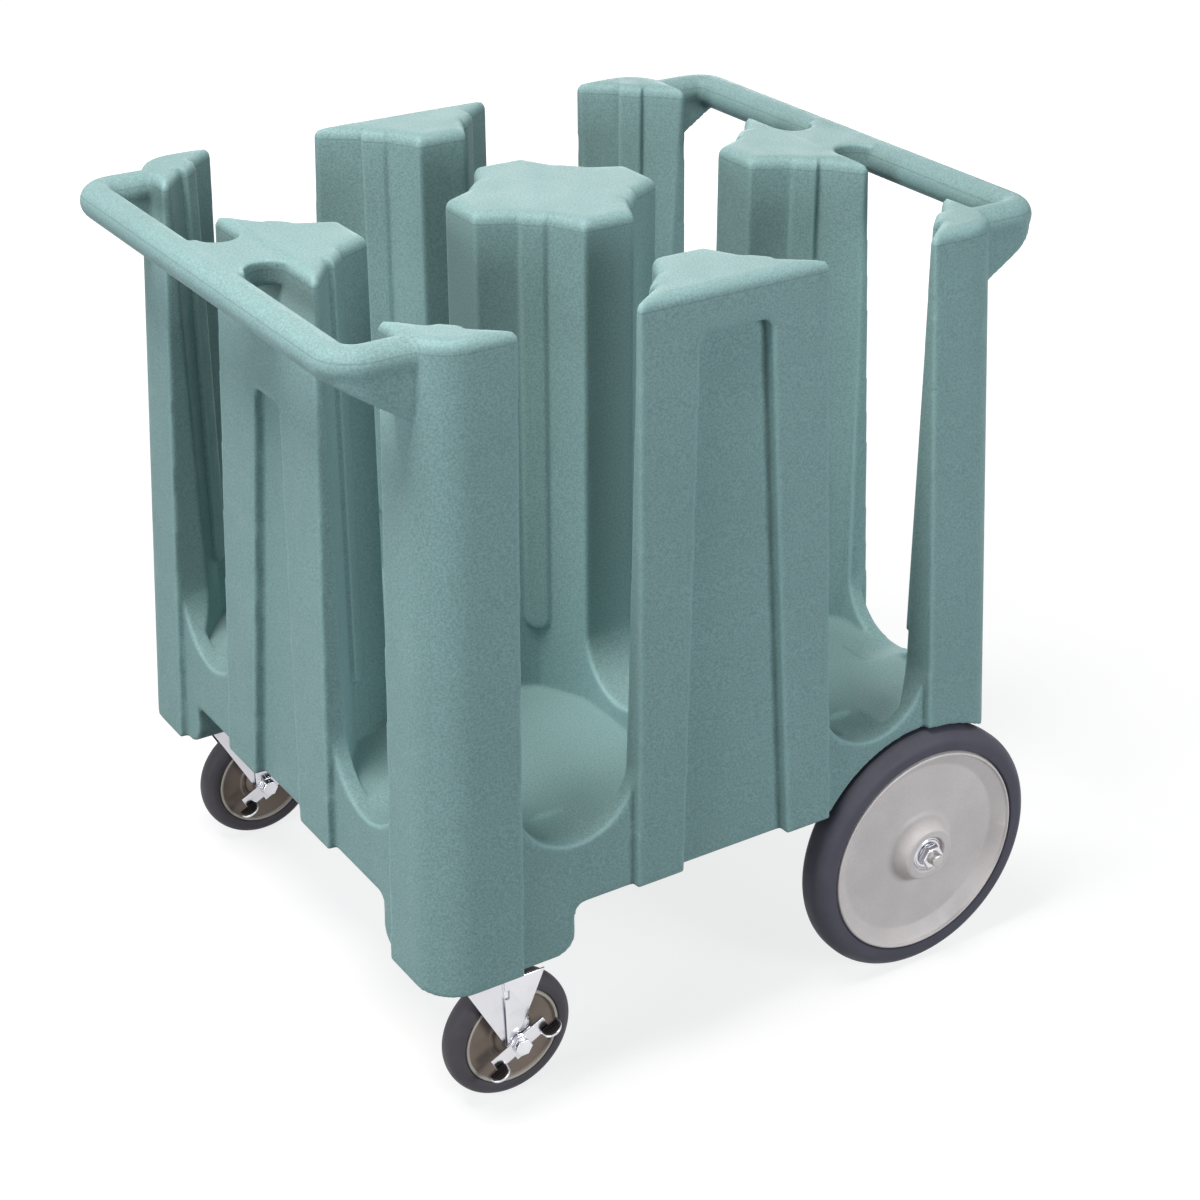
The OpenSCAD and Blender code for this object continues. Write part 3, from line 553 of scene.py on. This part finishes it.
def rear_washers(side, sign):
    """The ringed washer under the nut, and the flat one between the hub and the body."""
    node = "rear_washers_" + side
    centre = middle("rear_tyre_" + side)
    _, hub_in = reach_out("rear_rim_" + side, centre, sign)
    washer_out, washer_in = reach_out(node, centre, sign)
    washer_r, _ = half_sizes(node)
    bore, thickness, play = 6.6, 2.5, 0.4
    low, crest, back = washer_out - thickness, washer_out - 0.2, -hub_in - play
    ringed = [
        (bore, low, 0), (bore, washer_out, 0.2), (8.4, washer_out, 0.3), (9.2, low + 1, 0.4),
        (11, low + 0.8, 0.6), (12.4, crest, 0.5), (14.2, crest, 0.4),
        (15, low + 1.3, 0.4), (washer_r, low + 1.2, 0.3), (washer_r, low, 0.2),
    ]
    flat = [(bore, back, 0), (washer_r, back, 0.5), (washer_r, -washer_in, 0.5), (bore, -washer_in, 0)]
    piece = lathe("washers_rear_" + side, [ringed, flat], centre, sign, WASHER_STEPS)
    finish_piece(piece, "body", plated_look, [node], WASHER_SHARP)


def rear_nut(side):
    node = "rear_nut_" + side
    piece = bevelled(node, "nut_rear_" + side, NUT_BREAK, segments=3)
    finish_piece(piece, "body", plated_look, [node])


def caster_tyre(side):
    """Tyre with a round tread."""
    node = "caster_tyre_" + side
    outer, half = half_sizes(node)
    rim_r, _ = half_sizes("caster_rim_" + side)
    groove, shoulder = 3, 9
    outline = mirrored([
        (rim_r, half - groove, 0), (rim_r + 1, half - 0.8, 0.8),
        (outer - shoulder, half, 5), (outer - 2, half - 4.5, 4),
    ], crown=[(outer, 0, 9)])
    piece = lathe("tyre_caster_" + side, [outline], middle(node), -1)
    finish_piece(piece, "caster_wheel_" + side, caster_tyre_look, [node], WHEEL_SHARP)


def caster_rim(side):
    """Brown rim with a painted highlight on its lip, and a raised ring. Its brake side is towards -Y on both
    casters.
    """
    node, tyre = "caster_rim_" + side, "caster_tyre_" + side
    _, half = half_sizes(tyre)
    rim_r, hub_half = half_sizes(node)
    groove, lip_top = 3, half - 0.5
    lip, face, back = rim_r - 3.5, half - 4, half - 10
    ring_r, ring_width, ring_height, hub_foot_r, hub_r, bore = 23, 3.5, 1.6, 18, 12.5, 9.5
    ring_top = face + ring_height

    edge = [
        (rim_r, groove - half, 0), (rim_r, half - groove, 0),
        (rim_r - 0.8, lip_top, 0.6), (lip + 0.4, lip_top, 0.8), (lip, face, 1),
    ]
    ring = [
        (ring_r + 1, face, 1), (ring_r, ring_top, 0.8),
        (ring_r - ring_width, ring_top, 0.8), (hub_foot_r, face, 1.5),
    ]
    hub = [(hub_r + 1.5, hub_half - 1.5, 1), (hub_r, hub_half, 1), (bore, hub_half, 0)]
    hub_back = [(r, -z, fillet) for r, z, fillet in reversed(hub)]
    rim_back = [
        (hub_foot_r, back, 3), (lip, back, 1), (lip + 0.4, -lip_top, 0.8), (rim_r - 0.8, -lip_top, 0.6),
    ]
    outline = edge + ring + hub + hub_back + rim_back
    piece = lathe("rim_caster_" + side, [outline], middle(tyre), -1, CASTER_RIM_STEPS)
    finish_piece(piece, "caster_wheel_" + side, caster_rim_look, [node], WHEEL_SHARP)


def pressed_parts(side):
    """Stamped and machined parts of a caster, with their edges broken."""
    for part, body, width, segments in PRESSED_PARTS:
        piece = bevelled(part + side, part + "pressed_" + side, width, segments)
        finish_piece(piece, body + side, plated_look, [part + side])


def brake_pads(side):
    node = "brake_pads_" + side
    piece = bevelled(node, "brake_pads_moulded_" + side, PAD_BREAK, segments=2)
    finish_piece(piece, "brake_" + side, pad_look, [node])


def rear_axle():
    piece = bevelled("rear_axle", "axle_rear", AXLE_BREAK, segments=4)
    finish_piece(piece, "body", turned_look, ["rear_axle"])


def body_shell():
    halvings = BODY_HALVINGS
    piece = softened("body_moulding", "body_shell", halvings, BODY_PASSES)
    finish_piece(piece, "body", body_look, ["body_moulding"], sharp=0)


def caster_lip_highlight():
    """Colour, centre and radius of the pale highlight painted on the lip. Both casters stand in line, so one
    centre does for both.
    """
    lip_width = 3.3
    rim_r, _ = half_sizes("caster_rim_left")
    return CASTER_LIP_HIGHLIGHT_COLOUR, middle("caster_rim_left"), (rim_r - lip_width) * MM


body_look = moulded_plastic(cad_box[1][2])
rear_tyre_look = rubber("rear_tyre_rubber", REAR_TYRE_COLOUR)
caster_tyre_look = rubber("caster_tyre_rubber", CASTER_TYRE_COLOUR)
rear_rim_look = rim_finish("rear_rim_finish", REAR_RIM_COLOUR)
caster_rim_look = rim_finish("caster_rim_finish", CASTER_RIM_COLOUR, caster_lip_highlight())
plated_look = steel("bright_plating", PLATING_COLOUR, smoothest=0.10, roughest=0.24, brush=0.15)
turned_look = steel("turned_steel", TURNED_STEEL_COLOUR, smoothest=0.25, roughest=0.45, brush=0.45)
bearing_look = rubber("bearing_nylon", NYLON_COLOUR, grain=1300)
pad_look = rubber("brake_pad_rubber", PAD_COLOUR, grain=1500)

body_shell()
for side, sign in SIDES.items():
    rear_tyre(side, sign)
    rear_rim(side, sign)
    rear_washers(side, sign)
    rear_nut(side)
    caster_tyre(side)
    caster_rim(side)
    pressed_parts(side)
    brake_pads(side)
    for part in ("rear_bearing_", "caster_bearing_"):
        dress_node(part + side, bearing_look)
    for part in ("caster_plate_", "caster_screws_"):
        dress_node(part + side, plated_look)
    for part in ("caster_kingpin_", "caster_balls_", "caster_spacer_"):
        dress_node(part + side, turned_look)
rear_axle()
dress_node("axle_bushes", bearing_look)


# Stage


def area_lamp(name, at, size, power, colour):
    data = bpy.data.lights.new(name, "AREA")
    data.shape = "SQUARE"
    data.size = size
    data.energy = power
    data.color = colour
    lamp = new_object(name, data)
    lamp.location = at
    lamp.rotation_mode = "QUATERNION"
    lamp.rotation_quaternion = (Vector(AIM) - Vector(at)).to_track_quat("-Z", "Y")


def seen_directly(tree):
    """1 for camera, mirror and see-through rays."""
    path = tree.nodes.new("ShaderNodeLightPath")
    last = path.outputs["Is Camera Ray"]
    for name in ("Is Glossy Ray", "Is Transmission Ray"):
        larger = tree.nodes.new("ShaderNodeMath")
        larger.operation = "MAXIMUM"
        tree.links.new(last, larger.inputs[0])
        tree.links.new(path.outputs[name], larger.inputs[1])
        last = larger.outputs[0]
    return last


def make_world():
    """Dim light on the object, and white where the world is seen directly."""
    world = bpy.data.worlds.new("studio")
    bpy.context.scene.world = world
    world.use_nodes = True
    tree = world.node_tree
    light = colour_mix(tree, seen_directly(tree), AMBIENT, WHITE)
    tree.links.new(light, tree.nodes["Background"].inputs["Color"])


def floor_finish():
    """Seen directly, the floor glows to white and keeps the shadow, and it bounces less light."""
    s = Shader("studio_floor")
    direct = seen_directly(s.tree)
    distance = s.add("ShaderNodeVectorMath", operation="LENGTH")
    s.link(s.place, distance.inputs[0])
    glow = s.spread(distance.outputs["Value"], GLOW_START, GLOW_END, GLOW_NEAR, GLOW_FAR)
    s.surface("Base Color", s.mix(direct, FLOOR_BOUNCE, FLOOR_COLOUR))
    s.surface("Emission Color", WHITE)
    s.surface("Emission Strength", s.math("MULTIPLY", direct, glow))
    s.surface("Roughness", 0.9)
    s.surface("Specular IOR Level", 0.0)
    return s.material


def make_floor():
    work = bmesh.new()
    bmesh.ops.create_grid(work, x_segments=1, y_segments=1, size=FLOOR_HALF)
    mesh = bpy.data.meshes.new("studio_floor")
    work.to_mesh(mesh)
    work.free()
    mesh.materials.append(floor_finish())
    floor = new_object("studio_floor", mesh)


def make_camera():
    data = bpy.data.cameras.new("photo_camera")
    data.lens = CAMERA_LENS
    data.sensor_width = SENSOR
    camera = new_object("photo_camera", data)
    turn, down = math.radians(CAMERA_AZIMUTH), math.radians(CAMERA_DOWN)
    along = Vector((math.sin(turn) * math.cos(down), math.cos(turn) * math.cos(down), -math.sin(down)))
    camera.location = CAMERA_AT
    camera.rotation_mode = "QUATERNION"
    camera.rotation_quaternion = along.to_track_quat("-Z", "Y")
    bpy.context.scene.camera = camera


make_world()
make_floor()
for lamp in LAMPS:
    area_lamp(*lamp)
make_camera()
bpy.context.scene.view_settings.view_transform = "Standard"
